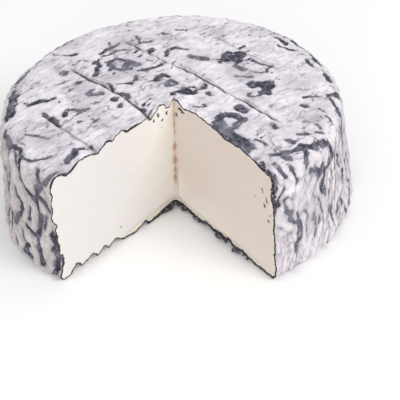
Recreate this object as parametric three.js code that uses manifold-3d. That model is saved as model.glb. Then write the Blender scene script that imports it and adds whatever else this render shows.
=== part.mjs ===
// A low wheel of soft goat's cheese with an ash rind, with one wedge cut out of it.
// Millimetres, +Z up. The wheel stands on z = 0, centred on its own outline.
import * as THREE from 'three';
import { mergeVertices } from 'three/addons/utils/BufferGeometryUtils.js';
import Module from 'manifold-3d';

const wasm = await Module();
wasm.setup();

// Wheel
const height = 53.5;            // to the start of the upper edge's rounding
const dome = 3;                 // how much higher the middle of the top stands
const topRadius = 69.5;         // where the side would meet the top, before its edge is rounded
const baseRadius = 73;          // the young cheese slumped, so its foot is wider than its top
const topEdge = 8;              // rounding of the upper edge
const baseEdge = 4.5;           // rounding of the lower edge
const topOval = 2.4;            // the outline is that much longer than round one way, and shorter across
const topOvalFacing = 104;      // degrees from +X, where the top's outline is longest
const baseOval = 4;
const baseOvalFacing = 72;
const creep = 3.8;              // how far the foot has crept towards +Y under the top

// Cut-out
const wedgeAngle = 83;          // opening between the two cut faces
const wedgeFacing = -45;        // middle of the opening, degrees from +X
const tipX = 8.7;               // the two cuts meet here on the top, seen from its middle
const tipY = -7;
const knifeLean = 4;            // how much further in they meet at the foot, because the knife leaned

// Creases left across the top by the slats of the drying mat
const creaseCount = 4;
const creaseSpacing = 31;
const firstCrease = -48;        // distance of the first one from the middle
const creaseAngle = 1;          // degrees from +X
const creaseWidth = 2.4;
const creaseDepth = 0.7;

// Facets
const stepsAround = 96;
const stepsPerEdge = 6;
const stepsPerSide = 5;
const stepsOnTop = 6;
const stepsPerCrease = 20;

const { degToRad: radians, lerp } = THREE.MathUtils;

// The upper edge's rounding stops where it has the slope of the dome that goes on from it.
const edgeTurn = Math.PI / 2 - Math.atan(2 * dome / topRadius);
const domeRadius = topRadius - topEdge + topEdge * Math.cos(edgeTurn);
const domeFoot = height - topEdge + topEdge * Math.sin(edgeTurn);
const fullHeight = domeFoot + dome;

// Height of the top at a distance from its middle.
function topAt(radius) {
  return domeFoot + dome * (1 - (radius / domeRadius) ** 2);
}

// Half of the wheel's section, from the middle of the base, up the side, to the middle of the top.
// Each point holds the radius and the height.
function wheelSection() {
  const points = [[0, 0]];
  for (let i = 0; i <= stepsPerEdge; i++) {
    const turn = (i / stepsPerEdge) * Math.PI / 2;
    points.push([
      baseRadius - baseEdge + baseEdge * Math.sin(turn),
      baseEdge - baseEdge * Math.cos(turn),
    ]);
  }
  for (let i = 1; i < stepsPerSide; i++) {
    const up = i / stepsPerSide;
    points.push([
      lerp(baseRadius, topRadius, up),
      lerp(baseEdge, height - topEdge, up),
    ]);
  }
  for (let i = 0; i <= stepsPerEdge; i++) {
    const turn = (i / stepsPerEdge) * edgeTurn;
    points.push([
      topRadius - topEdge + topEdge * Math.cos(turn),
      height - topEdge + topEdge * Math.sin(turn),
    ]);
  }
  for (let i = 1; i <= stepsOnTop; i++) {
    const radius = domeRadius * (1 - i / stepsOnTop);
    points.push([radius, topAt(radius)]);
  }
  return points;
}

// How much further than round the outline reaches, in one direction.
function ovalReach(oval, ovalFacing, facing) {
  return oval * Math.cos(2 * (facing - radians(ovalFacing)));
}

// Where a section point lies at one direction around the wheel. The outline is a little oval,
// turned one way at the top and another at the foot, and the foot has crept towards +Y.
function onWheel(radius, z, facing) {
  const up = Math.min(z / height, 1);
  const share = radius / lerp(baseRadius, topRadius, up);
  const atTop = ovalReach(topOval, topOvalFacing, facing);
  const atBase = ovalReach(baseOval, baseOvalFacing, facing);
  const r = radius + share * lerp(atBase, atTop, up);
  return [r * Math.cos(facing), r * Math.sin(facing) + creep * (1 - up), z];
}

// The whole wheel as a closed grid: rings between two poles.
function wholeWheel() {
  const section = wheelSection();
  const rings = section.slice(1, -1);
  const positions = [...onWheel(...section[0], 0)];
  for (const [radius, z] of rings) {
    for (let j = 0; j < stepsAround; j++) {
      positions.push(...onWheel(radius, z, (j / stepsAround) * 2 * Math.PI));
    }
  }
  positions.push(...onWheel(...section.at(-1), 0));
  const vertex = (ring, j) => 1 + ring * stepsAround + (j % stepsAround);
  const last = rings.length - 1;
  const topPole = 1 + rings.length * stepsAround;
  const faces = [];
  for (let j = 0; j < stepsAround; j++) {
    faces.push(0, vertex(0, j + 1), vertex(0, j));
    for (let ring = 0; ring < last; ring++) {
      const [a, b] = [vertex(ring, j), vertex(ring, j + 1)];
      const [c, d] = [vertex(ring + 1, j + 1), vertex(ring + 1, j)];
      faces.push(a, b, c, a, c, d);
    }
    faces.push(topPole, vertex(last, j), vertex(last, j + 1));
  }
  const geometry = new THREE.BufferGeometry();
  geometry.setAttribute('position', new THREE.Float32BufferAttribute(positions, 3));
  geometry.setIndex(faces);
  return geometry;
}

// The space of the missing wedge: a prism whose edge is where the two cuts meet. It leans with
// the knife, so that the edge at the foot lies further in than at the top.
function missingWedge() {
  const margin = 5;
  const reach = 3 * baseRadius;
  const facing = radians(wedgeFacing);
  const half = radians(wedgeAngle / 2);
  const outline = new THREE.Shape([
    new THREE.Vector2(0, 0),
    new THREE.Vector2(Math.cos(facing - half), Math.sin(facing - half)).multiplyScalar(reach),
    new THREE.Vector2(Math.cos(facing + half), Math.sin(facing + half)).multiplyScalar(reach),
  ]);
  const prism = new THREE.ExtrudeGeometry(outline, { depth: fullHeight + 2 * margin, bevelEnabled: false });
  prism.translate(0, 0, -margin - fullHeight);
  const lean = knifeLean / fullHeight;
  prism.applyMatrix4(new THREE.Matrix4().makeShear(
    0, 0, 0, 0, lean * Math.cos(facing), lean * Math.sin(facing),
  ));
  prism.translate(tipX, tipY, fullHeight);
  return prism;
}

// One crease: a long V-shaped prism lying across the top, point down, bent to follow the dome.
function crease(offset) {
  const length = 2.4 * topRadius;
  const rise = 1;                // how far the prism stands above the top, so that it cuts cleanly
  const halfWidth = (creaseWidth / 2) * (1 + rise / creaseDepth);
  const groove = new THREE.Shape([
    new THREE.Vector2(0, -creaseDepth),
    new THREE.Vector2(halfWidth, rise),
    new THREE.Vector2(-halfWidth, rise),
  ]);
  const prism = new THREE.ExtrudeGeometry(groove, {
    depth: length,
    steps: stepsPerCrease,
    bevelEnabled: false,
  });
  prism.translate(0, 0, -length / 2);
  prism.rotateX(Math.PI / 2);
  prism.rotateZ(Math.PI / 2);
  prism.translate(0, offset, 0);
  prism.rotateZ(radians(creaseAngle));
  const points = prism.attributes.position;
  for (let i = 0; i < points.count; i++) {
    const [x, y] = [points.getX(i), points.getY(i)];
    const stretch = 1 + ovalReach(topOval, topOvalFacing, Math.atan2(y, x)) / topRadius;
    points.setZ(i, points.getZ(i) + topAt(Math.hypot(x, y) / stretch));
  }
  return prism;
}

function toSolid(geometry) {
  const bare = geometry.clone();
  bare.deleteAttribute('normal');
  bare.deleteAttribute('uv');
  const merged = mergeVertices(bare);
  return new wasm.Manifold(new wasm.Mesh({
    numProp: 3,
    vertProperties: new Float32Array(merged.attributes.position.array),
    triVerts: new Uint32Array(merged.index.array),
  }));
}

function toGeometry(solid) {
  const mesh = solid.getMesh();
  const geometry = new THREE.BufferGeometry();
  geometry.setAttribute('position', new THREE.Float32BufferAttribute(mesh.vertProperties, 3));
  geometry.setIndex([...mesh.triVerts]);
  geometry.computeVertexNormals();
  return geometry;
}

// The wheel with its creases and its cut-out, moved so that its box is centred and stands on z = 0.
function cutWheel() {
  let solid = toSolid(wholeWheel());
  for (let i = 0; i < creaseCount; i++) {
    solid = solid.subtract(toSolid(crease(firstCrease + i * creaseSpacing)));
  }
  const geometry = toGeometry(solid.subtract(toSolid(missingWedge())));
  geometry.computeBoundingBox();
  const { min, max } = geometry.boundingBox;
  geometry.translate(-(min.x + max.x) / 2, -(min.y + max.y) / 2, -min.z);
  return geometry;
}

const bloomyRind = new THREE.MeshStandardMaterial({ color: 0xcfcbd6, roughness: 0.95, metalness: 0 });

const wheel = new THREE.Mesh(cutWheel(), bloomyRind);
wheel.name = 'cheese_wheel';

const cheese = new THREE.Group();
cheese.add(wheel);

export default cheese;
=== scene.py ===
import math
from functools import partial

import bpy
import numpy as np
from mathutils.geometry import delaunay_2d_cdt
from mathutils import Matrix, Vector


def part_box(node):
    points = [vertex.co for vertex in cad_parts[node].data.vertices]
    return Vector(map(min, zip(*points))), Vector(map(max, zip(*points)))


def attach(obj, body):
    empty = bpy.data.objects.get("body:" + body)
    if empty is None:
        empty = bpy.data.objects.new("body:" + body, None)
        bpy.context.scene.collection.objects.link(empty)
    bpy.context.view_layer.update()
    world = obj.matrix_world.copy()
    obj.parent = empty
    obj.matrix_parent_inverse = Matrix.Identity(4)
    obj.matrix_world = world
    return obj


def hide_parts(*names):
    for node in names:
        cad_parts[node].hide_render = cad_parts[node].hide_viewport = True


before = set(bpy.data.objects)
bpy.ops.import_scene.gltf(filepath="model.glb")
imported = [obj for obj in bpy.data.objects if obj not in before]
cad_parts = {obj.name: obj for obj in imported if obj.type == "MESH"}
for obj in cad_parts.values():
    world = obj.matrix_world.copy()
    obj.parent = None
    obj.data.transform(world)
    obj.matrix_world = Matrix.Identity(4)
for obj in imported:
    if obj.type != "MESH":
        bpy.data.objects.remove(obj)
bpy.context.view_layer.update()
print("frame loaded")

toMetres = 0.001
wheelBox = np.array(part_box("cheese_wheel")) / toMetres

# camera, floor and light

studio = {
    "azimuth": 46.35,  # where the camera stands round the wheel, in degrees
    "lookDown": 39.13,
    "distance": 348,  # mm from the point that it looks at
    "aim": (34.9, -21.3, 28),
    "lens": 81,
    "worldColour": (1.0, 1.0, 1.0),
    "worldStrength": 0.78,
    "keyFrom": (1240, 340, 1120),
    "keySize": 840,
    "keyPower": 10.4,
    "fillFrom": (840, -960, 660),
    "fillSize": 1100,
    "fillPower": 5.6,
    "floorSize": 4000,
    "floorColour": (0.93, 0.93, 0.93),
}


def toward(start, end):
    line = np.array(end, float) - np.array(start, float)
    flat = math.hypot(line[0], line[1])
    return (math.atan2(flat, -line[2]), 0, math.atan2(-line[0], line[1]))


def addCamera():
    across = math.radians(studio["azimuth"])
    down = math.radians(studio["lookDown"])
    back = np.array((math.sin(across) * math.cos(down), -math.cos(across) * math.cos(down), math.sin(down)))
    aim = np.array(studio["aim"])
    eye = aim + back * studio["distance"]
    data = bpy.data.cameras.new("camera")
    data.lens = studio["lens"]
    data.sensor_width = 36
    data.clip_start = 0.01
    camera = bpy.data.objects.new("camera", data)
    camera.location = eye * toMetres
    camera.rotation_euler = toward(eye, aim)
    bpy.context.scene.collection.objects.link(camera)
    bpy.context.scene.camera = camera


def addSoftLight(name, start, size, power):
    data = bpy.data.lights.new(name, "AREA")
    data.shape = "DISK"
    data.size = size * toMetres
    data.energy = power
    light = bpy.data.objects.new(name, data)
    light.location = np.array(start) * toMetres
    light.rotation_euler = toward(start, (0, 0, wheelBox[1][2] / 2))
    bpy.context.scene.collection.objects.link(light)


def addFloor():
    half = studio["floorSize"] / 2 * toMetres
    mesh = bpy.data.meshes.new("floor")
    corners = [(-half, -half, 0), (half, -half, 0), (half, half, 0), (-half, half, 0)]
    mesh.from_pydata(corners, [], [(0, 1, 2, 3)])
    floor = bpy.data.objects.new("floor", mesh)
    bpy.context.scene.collection.objects.link(floor)
    paint = bpy.data.materials.new("paleFloor")
    paint.use_nodes = True
    shader = paint.node_tree.nodes["Principled BSDF"]
    shader.inputs["Base Color"].default_value = (*studio["floorColour"], 1)
    shader.inputs["Roughness"].default_value = 0.9
    shader.inputs["Specular IOR Level"].default_value = 0.1
    mesh.materials.append(paint)


def addWorld():
    world = bpy.data.worlds.new("studio")
    world.use_nodes = True
    glow = world.node_tree.nodes["Background"]
    glow.inputs["Color"].default_value = (*studio["worldColour"], 1)
    glow.inputs["Strength"].default_value = studio["worldStrength"]
    bpy.context.scene.world = world
    bpy.context.scene.view_settings.view_transform = "Standard"


addCamera()
addFloor()
addWorld()
addSoftLight("key", studio["keyFrom"], studio["keySize"], studio["keyPower"])
addSoftLight("fill", studio["fillFrom"], studio["fillSize"], studio["fillPower"])
print("camera, floor and lights set")

# the wheel's smooth shape, in mm

wheel = {
    "height": 53.5,
    "dome": 3,
    "topRadius": 69.5,
    "baseRadius": 73,
    "topEdge": 8,
    "baseEdge": 4.5,
    "topOval": 2.4,
    "topOvalFacing": 104,
    "baseOval": 4,
    "baseOvalFacing": 72,
    "creep": 3.8,  # mm that the base lies away from under the top
}
cut = {
    "wedgeAngle": 83,
    "wedgeFacing": -45,
    "tipX": 8.7,
    "tipY": -7,
    "knifeLean": 4,  # mm that the tip line leans from its foot to its top
    "leftEdgeFacing": 279,  # where the cut meets the side, in degrees round the wheel
    "rightEdgeFacing": -10,
}
cells = {
    # how many rows or columns of faces each part has
    "columns": 480,  # a multiple of four
    "outerShare": 0.5,  # how far out, as a share, the rings have half as many points
    "innerShare": 0.22,  # and a quarter as many
    "sideShare": 0.55,  # how much of the shoulder's turn counts as the side
    "footInner": 22,
    "footOuter": 38,
    "baseEdge": 9,
    "side": 60,
    "shoulder": 16,
    "topOuter": 52,
    "topMiddle": 30,
    "topInner": 24,
    "tipLine": 62,
    "paste": 1.0,  # mm between points on a cut face
    "pasteRows": 0.866,  # and how much closer its rows lie than that
}

edgeTurn = math.pi / 2 - math.atan(2 * wheel["dome"] / wheel["topRadius"])
domeRadius = wheel["topRadius"] - wheel["topEdge"] * (1 - math.cos(edgeTurn))
domeFoot = wheel["height"] - wheel["topEdge"] * (1 - math.sin(edgeTurn))
fullHeight = domeFoot + wheel["dome"]
leftFacing = math.radians(cut["wedgeFacing"] - cut["wedgeAngle"] / 2)
rightFacing = math.radians(cut["wedgeFacing"] + cut["wedgeAngle"] / 2)


def sectionRadius(x, y, z):
    # the radius that a point would have if the wheel were a true circle
    up = np.clip(z / wheel["height"], 0, 1)
    y = y - wheel["creep"] * (1 - up)
    facing = np.arctan2(y, x)
    atBase = wheel["baseOval"] * np.cos(2 * (facing - math.radians(wheel["baseOvalFacing"])))
    atTop = wheel["topOval"] * np.cos(2 * (facing - math.radians(wheel["topOvalFacing"])))
    plain = wheel["baseRadius"] + (wheel["topRadius"] - wheel["baseRadius"]) * up
    return np.hypot(x, y) / (1 + (atBase + (atTop - atBase) * up) / plain)


def tipAt(z):
    lean = cut["knifeLean"] * (z - fullHeight) / fullHeight
    facing = math.radians(cut["wedgeFacing"])
    return cut["tipX"] + lean * math.cos(facing), cut["tipY"] + lean * math.sin(facing)


def reachTo(radius, z, facing):
    # how far from the tip line a ray meets the given section radius
    tipX, tipY = tipAt(z)
    low, high = np.zeros_like(facing), np.full_like(facing, 2 * wheel["baseRadius"])
    for _ in range(30):
        middle = (low + high) / 2
        inside = sectionRadius(tipX + middle * np.cos(facing), tipY + middle * np.sin(facing), z) < radius
        low, high = np.where(inside, middle, low), np.where(inside, high, middle)
    return low


def topAt(x, y):
    share = np.clip(sectionRadius(x, y, np.full_like(x, fullHeight)) / domeRadius, 0, 1)
    return domeFoot + wheel["dome"] * (1 - share**2)


def ringAt(reach, z, facing):
    tipX, tipY = tipAt(z)
    x, y = tipX + reach * np.cos(facing), tipY + reach * np.sin(facing)
    return np.stack((x, y, np.full_like(facing, z)), 1)


def levelRing(radius, z, facing):
    return ringAt(reachTo(radius, z, facing), z, facing)


def domeRing(share, facing):
    reach = share * reachTo(domeRadius, domeFoot, facing)
    z = np.full_like(facing, fullHeight)
    for _ in range(3):
        tipX, tipY = tipAt(z)
        x, y = tipX + reach * np.cos(facing), tipY + reach * np.sin(facing)
        z = topAt(x, y)
    return np.stack((x, y, z), 1)


def footRing(share, facing):
    reach = share * reachTo(wheel["baseRadius"] - wheel["baseEdge"], 0.0, facing)
    return ringAt(reach, 0.0, facing)


def makeRings():
    # from the tip of the foot, round the outside, to the tip of the top
    span = 2 * math.pi - math.radians(cut["wedgeAngle"])
    facings = rightFacing + span * np.linspace(0, 1, cells["columns"] + 1)
    outer, inner = cells["outerShare"], cells["innerShare"]
    rings, parts = [], []

    def keep(ring, part):
        rings.append(ring)
        parts.append(part)

    for share in np.linspace(0, outer, cells["footInner"] + 1)[1:]:
        keep(footRing(share, facings[::4]), "foot")
    for share in np.linspace(outer, 1, cells["footOuter"] + 1)[1:]:
        keep(footRing(share, facings[::2]), "foot")
    for turn in np.linspace(0, math.pi / 2, cells["baseEdge"] + 1)[1:]:
        radius = wheel["baseRadius"] - wheel["baseEdge"] * (1 - math.sin(turn))
        keep(levelRing(radius, wheel["baseEdge"] * (1 - math.cos(turn)), facings), "side")
    sideTop = wheel["height"] - wheel["topEdge"]
    for share in np.linspace(0, 1, cells["side"] + 1)[1:]:
        radius = wheel["baseRadius"] + (wheel["topRadius"] - wheel["baseRadius"]) * share
        keep(levelRing(radius, wheel["baseEdge"] + (sideTop - wheel["baseEdge"]) * share, facings), "side")
    for turn in np.linspace(0, edgeTurn, cells["shoulder"] + 1)[1:]:
        radius = wheel["topRadius"] - wheel["topEdge"] * (1 - math.cos(turn))
        part = "side" if turn < edgeTurn * cells["sideShare"] else "top"
        keep(levelRing(radius, sideTop + wheel["topEdge"] * math.sin(turn), facings), part)
    for share in np.linspace(1, outer, cells["topOuter"] + 1)[1:]:
        keep(domeRing(share, facings), "top")
    for share in np.linspace(outer, inner, cells["topMiddle"] + 1)[1:]:
        keep(domeRing(share, facings[::2]), "top")
    for share in np.linspace(inner, 0, cells["topInner"] + 1)[1:-1]:
        keep(domeRing(share, facings[::4]), "top")
    return rings, parts


def joinRings(low, high):
    # low and high are runs of point numbers; one may have half as many as the other
    if len(low) == len(high):
        return [(low[i], low[i + 1], high[i + 1], high[i]) for i in range(len(low) - 1)]
    faces = []
    if len(high) > len(low):
        for i in range(len(low) - 1):
            a, b = low[i], low[i + 1]
            c, d, e = high[2 * i], high[2 * i + 1], high[2 * i + 2]
            faces += [(a, d, c), (a, b, d), (b, e, d)]
    else:
        for i in range(len(high) - 1):
            a, b, c = low[2 * i], low[2 * i + 1], low[2 * i + 2]
            d, e = high[i], high[i + 1]
            faces += [(a, b, d), (b, e, d), (b, c, e)]
    return faces


def makeRind():
    rings, parts = makeRings()
    footTip = np.array([[*tipAt(0.0), 0.0]])
    topTip = np.array([[*tipAt(fullHeight), fullHeight]])
    topTip[0, 2] = topAt(topTip[:, 0], topTip[:, 1])[0]
    points = np.concatenate([footTip, *rings, topTip])
    runs, start = [], 1
    for ring in rings:
        runs.append(list(range(start, start + len(ring))))
        start += len(ring)
    faces = [(0, runs[0][i + 1], runs[0][i]) for i in range(len(runs[0]) - 1)]
    kinds = ["foot"] * len(faces)
    for k in range(len(runs) - 1):
        strip = joinRings(runs[k], runs[k + 1])
        faces += strip
        kinds += [parts[k + 1]] * len(strip)
    fan = [(runs[-1][i], runs[-1][i + 1], start) for i in range(len(runs[-1]) - 1)]
    faces += fan
    kinds += ["top"] * len(fan)
    edges = {
        "right": [0] + [run[0] for run in runs] + [start],
        "left": [0] + [run[-1] for run in runs] + [start],
    }
    return points, faces, kinds, edges


rindPoints, rindFaces, rindKinds, cutEdges = makeRind()
lowest, highest = rindPoints.min(0), rindPoints.max(0)
place = (wheelBox[0] + wheelBox[1]) / 2 - (lowest + highest) / 2
place[2] = wheelBox[0][2] - lowest[2]
print("smooth wheel:", len(rindPoints), "points, moved by", place.round(2))

# marks and lumps laid one by one, in mm

marks = {
    # each stroke of bare ash is its half width and the points that it runs through, from the top's middle
    "top": [
        (0.5, (-58, -16), (-54, -15), (-51, -12)), (1.2, (-51, -12), (-49, -10)),
        (1.5, (-41, -24), (-39, -23)), (0.45, (-35, -32), (-34, -28), (-34, -26)),
        (1.1, (-30, -25), (-29, -24)), (0.5, (-27, -33), (-28, -28)),
        (1.3, (-31, -47), (-30, -43), (-27, -39)), (0.8, (-22, -47), (-16, -47.5), (-10, -48)),
        (0.9, (-21, -24), (-20, -27), (-17, -26)), (1.2, (-16, -25), (-15, -24)),
        (1.4, (-16, -40), (-14, -43)), (0.9, (-16, -40), (-13, -37), (-11, -34)),
        (0.8, (-41, -3), (-42, 2), (-43, 8)), (0.6, (-38, -4), (-38, 3), (-36, 7)),
        (0.9, (-36, -11), (-37, -7)), (1.0, (-35, -9), (-31, -13), (-29, -16)),
        (0.5, (-42, -17), (-43, -12), (-39, -11)),
        (1.2, (-30, -8), (-33, -5), (-32, -2), (-28, 0), (-25, -2), (-24, -6), (-27, -8), (-30, -8)),
        (1.1, (-28, 0), (-22, 1), (-22, -3)), (0.9, (-19, -2), (-17, 3), (-15, 8)),
        (1.0, (-16, -5), (-14, -8)), (1.3, (-8, -2), (-9, 3), (-7, 4)),
        (1.15, (-3.5, 0), (-3.5, 3), (-0.5, 3), (0, 1), (-2.5, -1)), (0.9, (6.5, -5.5), (5, -4), (5, -2)),
        (2.6, (6.5, -0.8), (8, 1.8)), (1.0, (5, 1.5), (5, 5), (7, 6)), (1.2, (9, 2), (9.5, 4)),
        (0.8, (9, 5), (9, 10)), (1.0, (13, 7), (14, 7)), (0.8, (18, 0), (20, -1)),
        (0.5, (17, -4), (20, -2)), (0.8, (-18, -17), (-15, -18)), (1.1, (-9, -23), (-7, -23)),
        (0.9, (-4, -24), (-3, -25)), (0.6, (0, -20), (5, -19)), (0.8, (-17, -14), (-13, -10)),
        (0.9, (-28, 12), (-29, 15)), (0.6, (-24, 7), (-21, 8)), (1.0, (-12, -20), (-8, -17), (-6, -18)),
        (0.7, (-43, 19), (-38, 15)), (1.0, (-37, 15), (-35, 19)),
        (0.8, (-20, 15), (-23, 18), (-23, 22), (-17, 25)), (1.5, (-12, 22), (-6, 25)),
        (0.8, (-36, 28), (-35, 30)), (0.7, (-35, 34), (-32, 38)), (2.9, (-1, 31), (-3, 36)),
        (2.7, (2, 35), (-1, 40)), (0.7, (5, 31), (3, 35), (6, 39), (11, 40), (15, 42), (17, 37), (14, 33)),
        (1.6, (6, 31), (10, 30)), (0.8, (12, 24), (16, 30)), (2.6, (20, 26), (24, 31)),
        (2.9, (24, 30), (27, 25)), (0.7, (28, 22), (25, 18), (24, 21)), (1.5, (28, 0), (31, 3), (35, 5)),
        (1.3, (35, 4), (36, 0), (37, -3)), (1.6, (29, -1), (31, -5), (36, -5)),
        (1.8, (33, -7), (40, -8), (50, -9)), (2.1, (38, -5), (43, -5), (49, -6)), (0.9, (47, -1), (51, 0)),
        (1.7, (29, 8), (31, 9)), (1.1, (44, 11), (47, 11)), (0.8, (43, 29), (45, 31)),
        (1.0, (45, 43), (45, 46), (45, 50)), (0.9, (46, 42), (49, 43), (53, 42)),
        (0.9, (49, 33), (51, 33)), (0.5, (54, 31), (57, 32)), (0.7, (55, 24), (57, 24)),
        (0.7, (58, 21), (59, 23)), (0.8, (55, 14), (57, 17)), (1.1, (55, 8), (57, 9)),
        (1.1, (57, -3), (59, 1), (60, 4)), (1.2, (60, 4), (61, 8), (62, 14), (62, 19)),
        (1.2, (61, -1), (62, 1)), (1.3, (0, 62), (5, 62)), (1.0, (5, 58), (12, 60)),
        (0.8, (20, 58), (26, 57)), (1.5, (8, -58.5), (7.5, -56), (6.5, -53.5)),
        (0.7, (6.5, -53.5), (7, -50)), (0.6, (12, -61), (13, -64)),
        (1.1, (-27, -63), (-18, -66), (-10, -67)),
        (0.65, (-8, -67.5), (-3, -67.5), (-1, -66), (1, -63), (2, -61)),
        (1.9, (-41, -48), (-37, -52), (-32, -56)), (0.9, (-16, -60), (-11, -57), (-8, -56)),
        (1.0, (-20, -48), (-11, -48)), (0.7, (40, 34), (42, 39)),
    ],
    # on the side: round from the left cut edge, and up
    "side": [
        (1.3, (8, 51), (6, 47)), (1.4, (6, 47), (9, 41), (9, 38)),
        (1.1, (9, 38), (8, 34), (8, 28), (10, 22), (10, 16), (10, 4)),
        (1.0, (20, 50), (18, 43), (16, 39), (9, 38)), (0.6, (7, 41), (4, 39.5), (1, 38)),
        (1.1, (25, 36), (24, 31), (20, 29), (24, 22)), (1.5, (25, 21), (28, 17)),
        (0.9, (18, 21), (11, 20)), (1.1, (21, 15), (18, 12), (21, 6), (16, 6)), (1.5, (1, 25), (1, 18)),
        (1.1, (2, 18), (3, 14), (4, 1)), (0.8, (24, 51), (21, 46)),
        (0.9, (31, 37), (35, 27), (31, 22), (34, 10)), (1.0, (29, 48), (28, 44)), (1.2, (1, 52), (3, 49)),
        (0.8, (38, 47), (37, 31)), (0.7, (36, 29), (32, 27)), (0.9, (31, 20), (33, 12)),
        (0.8, (28, 10), (27, 3)), (0.7, (30, 45), (29, 38)), (0.8, (43, 42), (44, 30), (41, 20)),
        (0.7, (38, 18), (39, 6)), (0.6, (14, 32), (15, 25)), (0.5, (5, 33), (6, 26)),
    ],
    # on the side: back from the right cut edge, and up
    "sideRight": [
        (1.3, (33, 51), (37, 50), (39, 46), (42, 42)), (0.9, (42, 42), (39, 40), (35, 40)),
        (1.1, (24, 53), (21, 51), (19, 48)), (1.4, (22, 46), (27, 43), (32, 41)),
        (1.0, (32, 41), (33, 37), (31, 33)), (1.2, (6, 53), (7, 50)), (0.9, (11, 51), (12, 49), (13, 46)),
        (0.7, (60, 37), (59, 34)), (1.2, (53, 27), (52, 24)), (0.6, (47, 36), (50, 30)),
        (0.45, (44, 31), (42, 20)), (0.4, (37, 33), (36, 16)), (1.1, (49, 15), (50, 13)),
        (1.1, (53, 8), (54, 6)), (0.5, (39, 37), (40, 34)), (1.2, (0, 53), (2, 49), (1, 43)),
        (0.8, (1, 43), (0, 30), (2, 20)), (0.7, (14, 30), (15, 20), (13, 12)), (0.6, (25, 25), (26, 12)),
    ],
    # a broken line of ash round the rim: its distance out, half width and how far it breaks up
    "rim": (65.6, 0.8, 1.4),
    "rimClear": (45, 75),  # how far the rim's line stays from the left and the right cut edges
    "sideSwell": 0.25,  # how much wider the ash lies in the side's hollows
    # spots of bloom left standing inside the bare ash: a radius and a middle
    "spots": [(0.9, (-28, -4)), (1.2, (33, -0.5)), (1.4, (24, 24)), (0.35, (-1, 1.5)), (0.5, (-22, -1))],
    "farOff": 30,  # mm, for points that no mark is near
}
creases = {
    # from the top's middle: where it lies, its slope, the x where it begins and ends, and how deep it is
    "lines": [
        (-48, 0.008, -24, 40, 0.55),
        (-19.4, 0, -43, 20, 1),
        (12.4, 0.04, -45, 47, 1),
        (42, 0, -20, 22, 0.3),
    ],
    "fade": 6,
    "wander": 0.6,
}
lumps = {
    # how far the rind stands off its smooth outline along the cut, as (distance, offset) pairs
    "leftTop": [
        (0, 0.8), (1.2, 0.2), (2.3, -1.9), (4.2, -1.6), (5, 0.9), (8.2, 1.9), (9.8, 0.4), (12.4, -1.2),
        (16, -0.7), (21, 0), (25, -0.9), (28, 1.1), (31, 0.4), (32.5, -1), (36, 0.8), (40, -1.5),
        (42, -1.3), (45.5, 0.2), (51, -0.3), (55, -1.9), (58, -0.4), (61, 1.6), (64, 1.8),
    ],
    "leftSide": [
        (0, -0.7), (4, -2.6), (7, -3.4), (13, -3.3), (17.5, -0.8), (25, 0), (30, -1.9), (36, 0.8),
        (43, -0.5), (48, -0.4), (51, 0.6),
    ],
    "leftFoot": [
        (0, 0.4), (6, 1.6), (9, 0.8), (13, 0.6), (16.9, 0), (18.6, 3.0), (21, 1), (24, 0.2), (26, 0),
        (28, 0.6), (31.2, 0), (35.6, 4.0), (39.8, 1.5), (41.2, 4.3), (45.8, 1.3), (47.2, 4.1), (54.2, 1.4),
        (56.2, 4.4), (59.5, 0.6), (63, 0), (67, 0),
    ],
    "rightTop": [
        (0, 0.8), (3, 1.1), (6, -0.5), (10, 0.6), (13.4, 1.7), (22, 1.0), (27, 0.2), (32, -0.2),
        (39.5, 0.7), (45, -0.2), (50, -0.8), (55, 0.4), (60, 0),
    ],
    "rightSide": [
        (0, 0), (10, -0.6), (26, -1.1), (32, -1), (37, -1.2), (41, -1.7), (44, -1), (49, 0), (52, 0),
    ],
    "rightFoot": [
        (0, 0.4), (6, 1.4), (10, 0.8), (12.6, 2.5), (16, 0.9), (19.8, 2.6), (24, 0.8), (29.3, 2.0),
        (31.5, 0.6), (33.6, 2.5), (37, 0.4), (42, 2.4), (46, 1.2), (50, 0.8), (55, 0.4), (60, 0),
    ],
    "blend": 5,  # how far from the cut they die away
}


def strokeDepth(u, v, strokes):
    # how deep each point lies inside the nearest stroke; less than nothing outside
    best = np.full(len(u), -float(marks["farOff"]))
    for halfWidth, *route in strokes:
        for (x1, y1), (x2, y2) in zip(route, route[1:]):
            dx, dy = x2 - x1, y2 - y1
            share = np.clip(((u - x1) * dx + (v - y1) * dy) / (dx * dx + dy * dy), 0, 1)
            away = np.hypot(u - x1 - share * dx, v - y1 - share * dy)
            best = np.maximum(best, halfWidth - away)
    return best


def waver(u, v, length, turn):
    # a smooth wander between -1 and 1, from crossing waves
    rate = 2 * math.pi / length
    long = np.sin(rate * (u * 0.8 + v * 0.6) + turn)
    middling = np.sin(rate * 1.7 * (u * -0.5 + v * 0.86) + 2.1 * turn)
    short = np.sin(rate * 2.9 * (u * 0.95 - v * 0.3) + 4.3 * turn)
    return (long + middling + short * 0.6) / 2.6


def along(pairs, at):
    xs, ys = zip(*pairs)
    return np.interp(at, xs, ys)


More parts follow.
